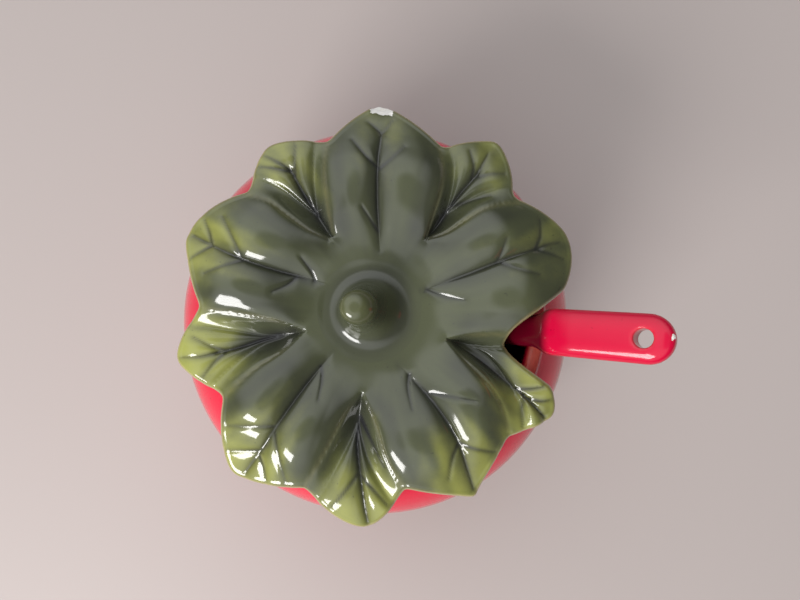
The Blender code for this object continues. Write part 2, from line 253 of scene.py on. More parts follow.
# bare fired clay: chalky, with warm stains, a few dark dots and a gritty height
def makeBareClay():
    group, given, result = newGroup("bareClay", (("Place", "Vector"), ("Clay", "Color"), ("Stain", "Color")),
                                    (("Color", "Color"), ("Height", "Float")))
    place = given["Place"]
    stainScale, dotScale, dotColour, gritScale, gritHeight = 170, 1900, (0.30, 0.22, 0.15, 1), 2600, 0.00009
    stained = between(group, noiseAt(group, place, stainScale, 3, 0.6), 0.48, 0.80)
    tone = mix(group, stained, given["Clay"], given["Stain"])
    dots = between(group, noiseAt(group, place, dotScale, 0, 0.5), 0.72, 0.78)
    tone = mix(group, calc(group, "MULTIPLY", dots, 0.5), tone, dotColour)
    group.links.new(tone, result["Color"])
    grit = calc(group, "MULTIPLY", noiseAt(group, place, gritScale, 3, 0.7), gritHeight)
    group.links.new(grit, result["Height"])
    return group


glazeTone, glazeSkin, bareClay = makeGlazeTone(), makeGlazeSkin(), makeBareClay()


# puts a shader group into a tree and feeds its named inputs
def useGroup(tree, group, given):
    node = tree.nodes.new("ShaderNodeGroup")
    node.node_tree = group
    for label, value in given.items():
        if isinstance(value, (int, float, tuple)):
            node.inputs[label].default_value = value
        else:
            tree.links.new(value, node.inputs[label])
    return node.outputs


# fired glaze over clay: a piece's marks say where the glaze is deep, thin, yellow or gone; the deep mark also
# holds painted shade and the yellow mark painted light
def glazeMaterial(name, look):
    material = bpy.data.materials.new(name)
    material.use_nodes = True
    tree = material.node_tree
    shader = tree.nodes["Principled BSDF"]
    place = tree.nodes.new("ShaderNodeTexCoord").outputs["Object"]
    mark = {}
    for key in markKeys:
        node = tree.nodes.new("ShaderNodeAttribute")
        node.attribute_name = key
        mark[key] = node.outputs["Fac"]
    base = look["base"]
    # the yellow mark shifts the base toward the tip colour: yellow-green glaze, partly painted light
    if "tip" in look:
        drift = calc(tree, "SUBTRACT", noiseAt(tree, place, 120, 4, 0.6), 0.5)
        sun = calc(tree, "ADD", mark["sun"], calc(tree, "MULTIPLY", drift, look["drift"]))
        base = mix(tree, between(tree, sun, 0.10, 1.0), look["base"], look["tip"])
    tone = useGroup(tree, glazeTone, {
        "Place": place, "Base": base, "Deep": look["deep"], "Thin": look["thin"], "Pool And Shade": mark["pool"],
        "Break": mark["edge"], "Mottle Scale": look["mottleScale"], "Mottle": look["mottle"],
        "Specks": look["specks"], "Gloss": look["gloss"], "Haze": look["haze"]})
    clay = useGroup(tree, bareClay, {"Place": place, "Clay": look["clay"], "Stain": look["stain"]})
    skin = useGroup(tree, glazeSkin, {"Place": place, "Wave": look["wave"], "Peel": look["peel"]})
    raggedScale, clayRoughness = 700, 0.85
    ragged = calc(tree, "SUBTRACT", noiseAt(tree, place, raggedScale, 2, 0.6), 0.5)
    ragged = calc(tree, "ADD", mark["bare"], calc(tree, "MULTIPLY", ragged, 0.5))
    bare = between(tree, ragged, 0.42, 0.58)
    tree.links.new(mix(tree, bare, tone["Color"], clay["Color"]), shader.inputs["Base Color"])
    tree.links.new(mix(tree, bare, tone["Roughness"], clayRoughness, "FLOAT"), shader.inputs["Roughness"])
    bump = tree.nodes.new("ShaderNodeBump")
    bump.inputs["Distance"].default_value = 1.0
    tree.links.new(mix(tree, bare, skin["Height"], clay["Height"], "FLOAT"), bump.inputs["Height"])
    tree.links.new(bump.outputs["Normal"], shader.inputs["Normal"])
    shader.inputs["IOR"].default_value = 1.55
    shader.inputs["Specular IOR Level"].default_value = look["specular"]
    return material


body = {
    "wall": 4.0, "midHeight": 41.0, "halfHeight": 46.2, "footRadius": 28.5, "footHeight": 1.5, "floor": 5.0,
    "mouth": 39.0, "lipHeight": 1.6, "spokes": 300, "uneven": 0.12,
    "look": {"base": (0.62, 0.004, 0.034, 1), "deep": (0.24, 0.002, 0.006, 1), "thin": (0.80, 0.22, 0.13, 1),
             "clay": (0.80, 0.76, 0.70, 1), "stain": (0.60, 0.50, 0.40, 1), "mottleScale": 38.0,
             "mottle": 0.45, "specks": 0.5, "gloss": 0.08, "haze": 0.10, "specular": 0.22,
             "wave": 0.00005, "peel": 0.000004},
}


# points on an ellipse about (x, z) between two angles in degrees
def arcPoints(centre, radii, start, end, count):
    a = np.radians(np.linspace(start, end, count))
    return np.stack((centre[0] + radii[0] * np.cos(a), centre[1] + radii[1] * np.sin(a)), axis=1)


# every profile point (radius, height) carried round the axis through the spokes' angles
def turned(profile, angle):
    radius, height = profile[:, :1], profile[:, 1:]
    return radius * np.cos(angle), radius * np.sin(angle), height + 0 * angle


# the jar is a turned profile: inner floor, inner wall, rounded lip, outer wall, foot
def makeBody(p):
    innerRadius, innerHalf = bodyRadius - p["wall"], p["halfHeight"] - p["wall"]
    neck = p["mouth"] + p["wall"]
    neckAngle = math.degrees(math.acos(neck / bodyRadius))
    floorAngle = math.degrees(math.asin((p["floor"] - p["midHeight"]) / innerHalf))
    mouthAngle = math.degrees(math.acos(p["mouth"] / innerRadius))
    footAngle = -math.degrees(math.asin((p["midHeight"] - p["footHeight"]) / p["halfHeight"]))
    centre, f, h = (0, p["midHeight"]), p["footRadius"], p["footHeight"]
    floorEdge = innerRadius * math.cos(math.radians(floorAngle))
    floor = np.stack((np.linspace(0.6, floorEdge - 4, 12), np.full(12, p["floor"])), axis=1)
    inside = arcPoints(centre, (innerRadius, innerHalf), floorAngle + 4, mouthAngle, 46)
    lipMiddle = (p["mouth"] + p["wall"] / 2, lipTop - p["lipHeight"])
    lip = arcPoints(lipMiddle, (p["wall"] / 2, p["lipHeight"]), 176, 4, 15)
    outside = arcPoints(centre, (bodyRadius, p["halfHeight"]), neckAngle - 1, footAngle, 84)
    outside = outside[outside[:, 0] > f + 0.8]
    foot = np.array(((f + 0.25, h + 0.35), (f, h - 0.1), (f, 0.5), (f - 0.12, 0.15), (f - 0.45, 0.0),
                     (f - 1.5, 0.0), (f * 0.7, 0.0), (f * 0.4, 0.0), (1.0, 0.0)))
    profile = np.vstack((floor, inside, lip, outside, foot))
    x, y, z = turned(profile, np.linspace(0, 2 * math.pi, p["spokes"], endpoint=False))
    isOut = (np.arange(len(profile)) >= len(floor) + len(inside) + len(lip))[:, None]
    swell = 1 + isOut * ramp(6, 20, z) * p["uneven"] * handmade(x, y, z, 38, 4) / bodyRadius
    away = np.hypot(x, y)
    uneven = handmade(x, y, z, 14, 5)
    onLip = ramp(lipTop - 1.0, lipTop - 0.2, z) * ramp(p["mouth"] - 1, p["mouth"], away)
    # the outer side is darker low down and the inside darker toward its floor; glaze is thin on the lip and
    # stops above the foot
    marks = {
        "pool": np.where(isOut, 0.55 * ramp(14, 3, z + 2 * uneven), 0.30 + 0.5 * ramp(12, 5.5, z)),
        "edge": onLip * (0.4 + 0.25 * uneven),
        "bare": np.where(isOut, ramp(1.6, 1.0, z + 0.25 * uneven), 0.0),
        "sun": 0 * z,
    }
    jar = ringMesh("jar_shell", np.stack((x * swell, y * swell, z), axis=-1), marks)
    jar.data.materials.append(glazeMaterial("tomatoGlaze", p["look"]))
    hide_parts("jar_body")
    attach(jar, "jar")
    print("jar body made,", len(jar.data.polygons), "faces")


makeBody(body)


# Every pair in a leaf is (degrees round the axis, mm from it). A leaf has its tip, how full its outline is on
# its clockwise and counter-clockwise side, the cleft after it, its midrib and its side veins. A small leaf
# also has the two folds that it hangs between, and how wide the wall below each fold is.
lid = {
    # each leaf's yellow strength is the yellow-green glaze at its tip and beside its midrib; it is set higher
    # on the leaves toward the window, which is painted light
    "leaves": [
        {"tip": (28.5, 52.5), "full": (1.6, 1.0), "cleft": (46.4, 45.2), "sun": 0.40,
         "midrib": [(34, 12.5), (31, 19), (29.5, 26), (29, 33), (28, 43)],
         "veins": [[(28, 42), (31, 44.5), (36, 47)], [(28, 42.5), (28, 46), (27.5, 49.3)],
                   [(28, 42), (25.5, 45), (22.5, 48.5)], [(29, 31.5), (31, 33), (36, 36)],
                   [(28.5, 32.5), (24, 35.5), (19.5, 40.5)], [(32, 14), (23, 16.5), (15, 21.5)]]},
        {"tip": (61.0, 53.8), "full": (1.1, 0.9), "cleft": (74.0, 44.9), "sun": 0.50,
         "midrib": [(62, 23.5), (61.5, 32), (60.5, 40), (60, 43.5)],
         "veins": [[(60.5, 41), (62, 43.5), (66, 47)], [(60, 43), (60.5, 46), (61, 49)],
                   [(60, 42), (57, 44.5), (53.5, 47.5)], [(61, 33), (57, 36), (52, 41)]],
         "folds": ([(61.5, 22.3), (55.5, 25.8), (52.5, 31), (50, 37), (45.5, 43)],
                   [(63, 22.3), (65.3, 26.4), (68, 33.6), (71, 39.4), (74, 43.1)]), "walls": (4.4, 3.0)},
        {"tip": (94.7, 54.0), "full": (0.82, 0.95), "cleft": (111.2, 44.4), "sun": 0.40,
         "midrib": [(92, 15.5), (93.5, 20), (95, 28), (95, 36), (94, 45.5)],
         "veins": [[(94, 45), (92.5, 46.5), (91, 49)], [(94, 45), (95.5, 46.3), (98, 48.5)],
                   [(94.8, 35), (91, 37), (86, 41.5)], [(95, 35.5), (99, 38), (103.5, 43.5)],
                   [(94, 20.5), (97, 22), (103, 26)]]},
        {"tip": (128.0, 49.9), "full": (1.0, 1.05), "cleft": (141.6, 43.3), "sun": 0.60,
         "midrib": [(125.5, 24), (126, 30), (126.5, 35), (126, 41.5)],
         "veins": [[(126, 39.5), (124, 42), (121, 46.5)], [(126, 41), (128, 44), (130.5, 48)],
                   [(126.5, 41), (129.5, 43), (134, 46.5)]],
         "folds": ([(123.5, 22.0), (119.5, 29), (116, 36), (112, 43.2)],
                   [(127.5, 21.6), (133.5, 25.5), (137, 31.5), (139, 37.5), (142, 42)]), "walls": (3.0, 4.6)},
        {"tip": (163.5, 50.9), "full": (1.35, 0.75), "cleft": (182.5, 42.2), "sun": 0.85,
         "midrib": [(152, 13.5), (157, 18.5), (161.5, 26), (163, 34.5), (162.5, 43.5), (162, 49)],
         "veins": [[(163, 34.5), (158.5, 37.5), (153, 44)], [(162.5, 43), (160, 44.5), (156.5, 48)],
                   [(163.5, 34), (166.5, 36.5), (172, 42)], [(162.8, 43), (165, 44.5), (169, 47.5)],
                   [(156, 17), (152, 18.5), (148, 22.5)], [(159, 21), (166, 22), (173, 25)]]},
        {"tip": (198.3, 49.3), "full": (1.0, 0.85), "cleft": (214.0, 40.9), "sun": 1.20,
         "midrib": [(197, 20), (198, 28), (199, 34.5), (199, 39)],
         "veins": [[(199, 37), (197, 39.5), (192.5, 44)], [(199, 38.5), (199, 43), (198, 47.5)],
                   [(199, 36.5), (202, 40), (207, 45.5)]],
         "folds": ([(196.5, 17.6), (189, 24), (184.8, 33.5), (183.3, 43)],
                   [(199.5, 17.6), (206.5, 23), (210, 31.5), (214.5, 41)]), "walls": (4.4, 4.4)},
        {"tip": (233.8, 51.6), "full": (1.0, 0.85), "cleft": (253.5, 44.4), "sun": 0.95,
         "midrib": [(226, 12.5), (229.5, 19), (232, 26.5), (234, 34), (235.5, 41), (236, 49)],
         "veins": [[(234, 35), (229, 38), (222.5, 43.5)], [(235.5, 42), (232, 44.5), (227, 49)],
                   [(234.8, 36), (240, 39), (247.5, 45)], [(235.7, 43), (239.5, 45), (243, 48.3)],
                   [(229, 18), (235, 19.5), (242, 24)]]},
        {"tip": (272.8, 51.3), "full": (1.15, 1.1), "cleft": (285.5, 41.7), "sun": 1.05,
         "midrib": [(266, 21), (267.5, 30.5), (270.5, 39), (272.5, 46), (273.5, 49.5)],
         "veins": [[(267, 25), (272, 28.5), (279, 36)], [(270.5, 38.5), (274.5, 41), (280, 46)],
                   [(270, 37.5), (267, 41), (263, 46.5)]],
         "folds": ([(265, 19.3), (259, 24), (255.5, 34), (253.2, 45)],
                   [(267, 19.3), (276, 26), (280, 33.6), (285.5, 42)]), "walls": (4.2, 4.6)},
        {"tip": (304.5, 50.7), "full": (0.60, 0.50), "cleft": (322.5, 43.1), "sun": 0.90,
         "midrib": [(300, 13), (306, 18), (309, 24), (309.5, 30), (308.5, 36.5), (306.5, 42.5), (305, 48.8)],
         "veins": [[(308.7, 36), (312, 39), (318, 44.5)], [(308.5, 36), (304, 38), (299.5, 42.5)],
                   [(308, 22), (315, 24.5), (325, 31)], [(305, 16.5), (300, 19), (297, 24)]]},
        {"tip": (336.0, 49.7), "full": (0.80, 1.35), "cleft": (343.7, 45.8), "sun": 1.00,
         "midrib": [(346, 21.5), (342.5, 28), (339.5, 34), (337.5, 40), (334.5, 47.5)],
         "veins": [[(338, 38.5), (340, 41), (343.5, 45)], [(337.5, 40.5), (333, 42), (327.5, 45)],
                   [(337, 42), (338, 44.5), (340, 47)]],
         "folds": ([(345.5, 18.4), (339.5, 23), (334, 31.5), (329, 38), (323, 43.5)],
                   [(348, 18.4), (353.5, 23), (357, 31.5), (359, 40)]), "walls": (5.0, 3.2)},
    ],
    "spokes": 620, "edgeInset": 1.5, "thickness": 3.7, "thinnest": 2.5, "floorRise": 4.1,
    # the flat ring that rests on the lip: its gap, and where it starts and stops
    "seatGap": 0.3, "seatStart": (36.5, 38.5), "seatStop": (43.4, 45.4),
    # the notch for the ladle: the reach of its root and the angle of its middle, and for its back and front
    # side the angle and the reach of its mouth and the power by which it opens
    "notchRoot": 32.3, "notchMiddle": -3.8, "notchSides": ((13.3, 47.0, 1.75), (-16.3, 45.8, 2.8)),
    # heights over the lowest leaf floor by distance from the axis, and how much half a leaf swells
    "broadLine": [(0, 0.8), (12, 0.8), (17, 1.35), (22, 2.5), (28, 3.7), (34, 4.2), (38, 3.8), (42, 2.3),
                  (46, 0.35), (50, -1.7), (53, -3.3)],
    "smallLine": [(0, 0.8), (15, 0.7), (20, -1.0), (25, -1.2), (30, -0.5), (36, 0.3), (41, 0.7), (45, 0.5),
                  (48.5, -0.6), (52, -2.2)],
    "notchLine": [(0, 0.8), (15, 0.7), (20, -1.2), (28, -1.5), (34, -0.8), (38, 0.2), (43, 1.3), (46, 1.2),
                  (50, -0.6), (52, -1.4)],
    "broadSwell": [(0, 0), (13, 0), (20, 0.9), (28, 2.0), (36, 2.0), (43, 1.1), (51, 0.5)],
    "smallSwell": [(0, 0), (20, 0), (28, 0.6), (36, 1.2), (44, 1.3), (50, 0.8)],
    # the reach to which a small leaf's folds are carried, past its edge; the power by which its walls fall;
    # and the pit at its root
    "foldEnd": 54, "wallFall": 1.7, "pitInset": 2.5, "pitWidth": 4.0,
    "midribDepth": 1.0, "midribWidth": 1.7, "smallRibWidth": 1.9, "veinDepth": 0.75, "veinWidth": 1.2,
    "crestWidth": 0.55, "crestRise": 0.10,
    "flangeOuter": 38.4, "flangeInner": 34.8, "flangeDepth": 4.7,
    # the knob: its root and its tip's lean as (x, y), the power by which it leans, and its outline as
    # (distance from its middle, height)
    "knobRoot": (-1.6, 1.1), "knobLean": (-3.0, -0.4), "knobBend": 1.3, "dishEdge": 12.5,
    "knobLine": [(0.4, 17.0), (1.6, 16.85), (2.7, 16.3), (3.5, 15.3), (3.95, 14.0), (4.1, 12.2), (4.2, 10),
                 (4.45, 7.6), (4.9, 5.4), (5.6, 3.4), (6.5, 1.7), (7.6, 0.55), (8.8, -0.05), (10.0, -0.25),
                 (11.3, -0.14), (12.5, 0.0)],
    # the flake: where its plane passes, how wide it is, how it slants, how far it draws back at its ends,
    # and how rough it is
    "chipAngle": 94.0, "chipReach": 51.4, "chipHalfWidth": 3.6, "chipHeight": -2.3,
    "chipSlant": (0.72, 0.69), "chipEnds": 1.8, "chipRough": 0.16,
    "look": {"base": (0.070, 0.077, 0.040, 1), "deep": (0.021, 0.021, 0.022, 1),
             "thin": (0.33, 0.27, 0.13, 1), "tip": (0.29, 0.30, 0.075, 1), "drift": 0.5,
             "clay": (0.86, 0.84, 0.80, 1),
             "stain": (0.62, 0.52, 0.40, 1), "mottleScale": 55.0, "mottle": 0.5, "specks": 0.35,
             "gloss": 0.05, "haze": 0.10, "specular": 0.5, "wave": 0.00005, "peel": 0.000004},
}


# reach of the lid's edge by angle: it falls from tip to cleft by a power of the share of the way,
# rounded at the tip by the soft share, and the notch opens by a power of its own on each side
def lidReach(angle, p):
    (back, backReach, _), (front, _, _) = p["notchSides"]
    angle = (angle - front) % 360 + front
    reach, soft = np.zeros(angle.shape), 0.16
    halves = (angle > p["notchMiddle"], angle <= p["notchMiddle"])
    for (side, mouth, power), here in zip(p["notchSides"], halves):
        share = np.clip((angle - p["notchMiddle"]) / (side - p["notchMiddle"]), 0, 1)
        reach = np.where(here, p["notchRoot"] + (mouth - p["notchRoot"]) * share ** power, reach)
    before = (back, backReach)
    for leaf in p["leaves"]:
        tipAngle, tipReach = leaf["tip"]
        for (sideAngle, sideReach), full in ((before, leaf["full"][0]), (leaf["cleft"], leaf["full"][1])):
            share = (angle - tipAngle) / (sideAngle - tipAngle)
            rounded = (np.sqrt(share ** 2 + soft ** 2) - soft) / (math.sqrt(1 + soft ** 2) - soft)
            here = sideReach + (tipReach - sideReach) * (1 - rounded ** full)
            reach = np.where((share >= 0) & (share <= 1) & (angle >= back), here, reach)
        before = leaf["cleft"]
    return reach


# a closed row of points or directions, averaged with both its neighbours a few times
def relax(row, times):
    for _ in range(times):
        row = row / 2 + (np.roll(row, 1, axis=0) + np.roll(row, -1, axis=0)) / 4
    return row


# the edge as evenly spaced points, and the directions square to it that point inwards
def lidOutline(p):
    angle = np.linspace(p["notchSides"][1][0], p["notchSides"][1][0] + 360, 4001)
    reach = lidReach(angle, p)
    xy = np.stack((reach * np.cos(np.radians(angle)), reach * np.sin(np.radians(angle))), axis=1)
    run = np.concatenate(([0], np.cumsum(np.linalg.norm(np.diff(xy, axis=0), axis=1))))
    at = np.linspace(0, run[-1], p["spokes"], endpoint=False)
    edge = relax(np.stack([np.interp(at, run, xy[:, k]) for k in (0, 1)], axis=1), 5)
    way = relax(np.roll(edge, -1, axis=0) - np.roll(edge, 1, axis=0), 4)
    inward = np.stack((-way[:, 1], way[:, 0]), axis=1)
    return edge, inward / np.linalg.norm(inward, axis=1)[:, None]


# a small leaf hangs between two folds, a wall under each. Returns whether a point is inside, its distance to
# the nearer fold, the share of the way down as 1 - (1 - distance / wall) to a power, the distance past the
# walls, how near the foot of a wall is, and the pit at the root.
def smallLeaf(x, y, r, angle, leaf, p):
    far, wall, inside = [], [], r > leaf["folds"][0][0][1] - 0.2
    for fold, width, turn in zip(leaf["folds"], leaf["walls"], (1, -1)):
        (priorAngle, priorReach), (lastAngle, lastReach) = fold[-2:]
        grow = (p["foldEnd"] - lastReach) / (lastReach - priorReach)
        fold = fold + [(lastAngle + (lastAngle - priorAngle) * grow, p["foldEnd"])]
        far.append(nearLine(x, y, smoothLine(fold, 22))[0])
        wall.append(width * (0.45 + 0.55 * ramp(18, 30, r)))
        foldAngle = curveThrough([(reach, degrees) for degrees, reach in fold], r)
        inside = inside & (((angle - foldAngle + 180) % 360 - 180) * turn > 0)
    step = np.minimum(np.clip(far[0] / wall[0], 0, 1), np.clip(far[1] / wall[1], 0, 1))
    step = 1 - (1 - step) ** p["wallFall"]
    foot = np.minimum(np.abs(far[0] - wall[0]), np.abs(far[1] - wall[1]))
    past = np.maximum(np.minimum(far[0] - wall[0], far[1] - wall[1]), 0)
    root = polar(*leaf["folds"][0][0]) + polar(leaf["folds"][0][0][0], p["pitInset"])
    pit = np.exp(-np.hypot(x - root[0], y - root[1]) / p["pitWidth"])
    return inside, np.minimum(far[0], far[1]), step, past, np.exp(-(foot / 0.7) ** 1.4), pit


# upper face of the lid. The dish rises to the broad leaves; walls drop from them to the small leaves'
# floors; each half leaf swells between its midrib and its fold; midribs and veins are cut in as sharp
# valleys that taper. Returns the height, the height without cuts, waves and crests, and the glaze's marks,
# with painted shade and painted light in them.
def lidFace(x, y, p):
    r, angle = np.hypot(x, y), np.degrees(np.arctan2(y, x))
    streak = handmade(40 * x / (r + 0.01), 40 * y / (r + 0.01), r / 3, 4.5, 11)
    small, past, foot, pit, crest = (np.zeros(x.shape) for _ in range(5))
    foldFar, floor = np.full(x.shape, 60.0), curveThrough(p["smallLine"], r)
    for leaf in p["leaves"]:
        if "folds" not in leaf:
            continue
        inside, near, step, beyond, wallFoot, hollow = smallLeaf(x, y, r, angle, leaf, p)
        small, past = np.where(inside, step, small), np.where(inside, beyond, past)
        foot, pit = np.where(inside, wallFoot, foot), np.maximum(pit, np.where(inside, hollow, 0))
        foldFar = np.minimum(foldFar, near)
        crest = np.maximum(crest, bell(near, p["crestWidth"]))
        if leaf is p["leaves"][-1]:   # the last leaf is the one beside the notch
            floor = np.where(inside, curveThrough(p["notchLine"], r), floor)
    ribFar, (cut, dark, sun) = np.full(x.shape, 60.0), (np.zeros(x.shape) for _ in range(3))
    for leaf in p["leaves"]:
        far, share = nearLine(x, y, smoothLine(leaf["midrib"], 24))
        ribFar = np.minimum(ribFar, far)
        fade, taper = 0.35 + 0.65 * ramp(0, 0.3, share), 1 - 0.55 * share
        width = (p["smallRibWidth"] if "folds" in leaf else p["midribWidth"]) * taper
        cut = np.maximum(cut, fade * taper * p["midribDepth"] * np.exp(-far / width))
        # the narrow line is deep glaze in the midrib; the wide halo is painted shade of the relief
        dark = np.maximum(dark, fade * (0.45 * bell(far, 0.5 * width) + 0.42 * bell(far, 2.8)))
        for vein in leaf["veins"]:
            veinFar, share = nearLine(x, y, smoothLine(vein, 8))
            taper = 1 - 0.55 * share
            width = p["veinWidth"] * taper
            cut = np.maximum(cut, taper * p["veinDepth"] * np.exp(-veinFar / width))
            # the narrow line is deep glaze in the vein; the wide halo is painted shade of the relief
            tone = 0.62 * bell(veinFar, 0.55 * width) + 0.33 * bell(veinFar, 1.6)
            dark = np.maximum(dark, (1 - 0.35 * share) * tone)
        tip = polar(*leaf["tip"])
        atTip = 1 - ramp(0, 24, np.hypot(x - tip[0], y - tip[1]))
        beside = 0.42 * bell(far - 3.5, 2.8) * ramp(16, 36, r) * (1 - ramp(46, 54, r))
        sun = np.maximum(sun, leaf["sun"] * (atTip + beside * (1 - atTip)))
    # painted shade: darker bands beside broad leaves' folds and midribs, where the relief's shade falls
    shade = (bell(foldFar - 3.2, 2.4) + 0.8 * bell(ribFar - 1.0, 3.4)) * (1 - small)
    shade *= ramp(15, 24, r) * (1 - 0.6 * ramp(38, 48, r))
    broadSwell = np.clip(4 * ribFar * foldFar / (ribFar + foldFar + 0.01) ** 2, 0, 1) ** 0.8
    smallSwell = np.clip(4 * ribFar * past / (ribFar + past + 0.01) ** 2, 0, 1) ** 0.8
    broad = curveThrough(p["broadLine"], r)
    broad += curveThrough(p["broadSwell"], r) * (broadSwell - 0.5 * np.exp(-foldFar / 3.5))
    floor = floor + curveThrough(p["smallSwell"], r) * smallSwell
    plain = lipTop + p["floorRise"] + broad * (1 - small) + floor * small
    quiet = ramp(10, 18, r)
    wave = 0.10 * handmade(x, y, 0, 15, 3) + 0.05 * handmade(x, y, 0, 6, 8)
    face = plain + quiet * (wave + p["crestRise"] * crest * (1 - small)) - cut * ramp(11, 17, r)
    # glaze is deep in the cuts; the dark beside broad leaves' folds and midribs is painted shade, and pits,
    # wall feet and small leaves' roots are darker with deep glaze and painted shade. The glaze is yellow at
    # the tips and on the folds, and the yellow is set stronger on the leaves toward the window as painted
    # light
    # pits, wall feet and small leaves' roots are darker: deep glaze there, with painted shade
    pool = np.maximum(np.maximum(0.95 * dark, 0.06 * foot), 0.55 * pit) + 0.22 * small * (1 - ramp(26, 36, r))
    pool = np.clip(np.maximum(pool, 0.22 * pool + 0.40 * shade), 0, 1)
    sun = np.maximum(sun, 0.20 * bell(foldFar, 1.6) * ramp(20, 28, r))
    sun = np.clip(sun * (1 + 0.15 * streak) + 0.06 * streak * quiet, 0, 1.3)
    marks = {"pool": np.clip(pool + 0.06 * streak * quiet, 0, 1),
             "sun": sun * (1 - 0.8 * small * (1 - ramp(28, 38, r))),
             "edge": 0.12 * crest * (1 - small) * ramp(20, 26, r)}
    return face, plain, marks


# underside: the upper face without its cuts, one thickness lower, flat where it rests on the jar's lip
def lidUnder(x, y, p):
    face, plain, _ = lidFace(x, y, p)
    low = np.minimum(plain - p["thickness"], face - p["thinnest"])
    r = np.hypot(x, y)
    seat = ramp(*p["seatStart"], r) * (1 - ramp(*p["seatStop"], r))
    return low + seat * np.maximum(lipTop + p["seatGap"] - low, 0)


# the lid is bands of rings: knob and dish, leaves out to the inset edge, the half round edge, the
# underside in to the flange, the flange, and the underside in to the middle
def makeLid(p):
    edge, inward = lidOutline(p)
    inset = edge + inward * p["edgeInset"]
    root, lean = np.array(p["knobRoot"]), np.array(p["knobLean"])
    aim = inset - root
    aim /= np.linalg.norm(aim, axis=1)[:, None]
    bands = []

    def addBand(xy, z, **marks):
        held = [np.broadcast_to(marks.get(key, 0.0), z.shape) for key in markKeys]
        bands.append(np.stack((xy[..., 0], xy[..., 1], z, *held), axis=-1))

    line = np.array(p["knobLine"])
    run = np.concatenate(([0], np.cumsum(np.linalg.norm(np.diff(line, axis=0), axis=1))))
    at = np.linspace(0, run[-1], 38)
    reach, high = (curveThrough(np.column_stack((run, line[:, k])), at)[:, None] for k in (0, 1))
    leaning = (np.clip(high, 0, None) / line[0, 1]) ** p["knobBend"]
    xy = root + lean * leaning[..., None] + aim * reach[..., None]
    face = lidFace(xy[..., 0], xy[..., 1], p)[0]
    dish = ramp(9, p["dishEdge"], reach)
    z = (lipTop + p["floorRise"] + p["broadLine"][0][1]) * (1 - dish) + face * dish + high
    moatShade = bell(reach - 8.6, 2.2)   # darker ring round the knob: painted shade and dark reflection in the moat
    # the knob's top is painted yellower with height: a painted highlight on its lit top
    addBand(xy, z, pool=0.12 + 0.42 * moatShade, sun=0.05 + 0.2 * ramp(10, 16, high))

    start = root + aim * p["dishEdge"]
    xy = start + (inset - start) * np.linspace(0, 1, 84)[1:, None, None]
    face, _, marks = lidFace(xy[..., 0], xy[..., 1], p)
    addBand(xy, face, **marks)

    top, _, marks = lidFace(*inset.T, p)
    low = lidUnder(*inset.T, p)
    turn = np.linspace(0, math.pi, 13)[1:-1, None]
    rim = ramp(0.35, 0.90, np.sin(turn))
    xy = inset - inward * p["edgeInset"] * np.sin(turn)[..., None]
    addBand(xy, (top + low) / 2 + (top - low) / 2 * np.cos(turn), pool=marks["pool"] * (1 - rim) * 0.8,
            sun=marks["sun"] + 0 * rim, edge=np.maximum(marks["edge"], 0.9 * rim))

    # where the notch cuts in past the flange, the rings below are squeezed inwards and the flange fades out
    way = edge / np.linalg.norm(edge, axis=1)[:, None]
    squeeze = np.minimum(1, (np.linalg.norm(inset, axis=1) - 0.3) / (p["flangeOuter"] + 0.35))
    hasFlange = ramp(0.965, 1.0, squeeze)
    stop = way * ((p["flangeOuter"] + 0.25) * squeeze)[:, None]
    xy = inset + (stop - inset) * np.linspace(0, 1, 8)[:, None, None]
    addBand(xy, lidUnder(xy[..., 0], xy[..., 1], p), pool=0.3)

    # the flange's section: radius, share of its depth, and how bare of glaze it is
    outer, inner = p["flangeOuter"], p["flangeInner"]
    steps = np.array(((outer, 0.02, 0), (outer, 0.5, 0), (outer, 0.93, 0.3), (outer - 0.35, 1, 1),
                      (outer - 1.2, 1, 1), (inner + 1.2, 1, 1), (inner + 0.35, 1, 1), (inner, 0.93, 0.3),
                      (inner, 0.5, 0), (inner - 0.1, 0.02, 0)))
    xy = way * (steps[:, :1] * squeeze)[..., None]
    low = lidUnder(xy[..., 0], xy[..., 1], p)
    addBand(xy, low + (lipTop - p["flangeDepth"] - low) * steps[:, 1:2] * hasFlange, pool=0.35,
            bare=steps[:, 2:] * hasFlange)

    radius = np.linspace(inner - 0.8, 2, 11)[:, None]
    xy = way * (radius * squeeze)[..., None]
    addBand(xy, lidUnder(xy[..., 0], xy[..., 1], p), pool=0.35)

    rings = np.concatenate(bands)
    chipTip(rings, p)
    marks = {key: rings[..., 3 + k] for k, key in enumerate(markKeys)}
    cover = ringMesh("leaf_lid", rings[..., :3], marks)
    cover.data.materials.append(glazeMaterial("leafGlaze", p["look"]))
    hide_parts("lid")
    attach(cover, "cover")
    print("lid made,", len(cover.data.polygons), "faces")


# a knock has flaked one leaf's tip: points past a slanted, rough plane are pushed back onto it and left bare
def chipTip(rings, p):
    x, y, z = rings[..., 0], rings[..., 1], rings[..., 2]
    way, slant, half = polar(p["chipAngle"], 1.0), p["chipSlant"], p["chipHalfWidth"]
    outward, sideways = x * way[0] + y * way[1], np.abs(y * way[0] - x * way[1])
    ends = p["chipEnds"] * ramp(half - 1.2, half + 0.8, sideways)
    above = z - lipTop - p["floorRise"] - p["chipHeight"]
    past = (outward - p["chipReach"]) * slant[0] + above * slant[1] - ends
    cut = np.clip(past + p["chipRough"] * handmade(x, y, z, 1.8, 21), 0, None) * (sideways < half + 1.5)
    rings[..., 0] -= cut * slant[0] * way[0]
    rings[..., 1] -= cut * slant[0] * way[1]
    rings[..., 2] -= cut * slant[1]
    bare = 3 + markKeys.index("bare")
    rings[..., bare] = np.maximum(rings[..., bare], ramp(0.0, 0.12, cut))


makeLid(lid)


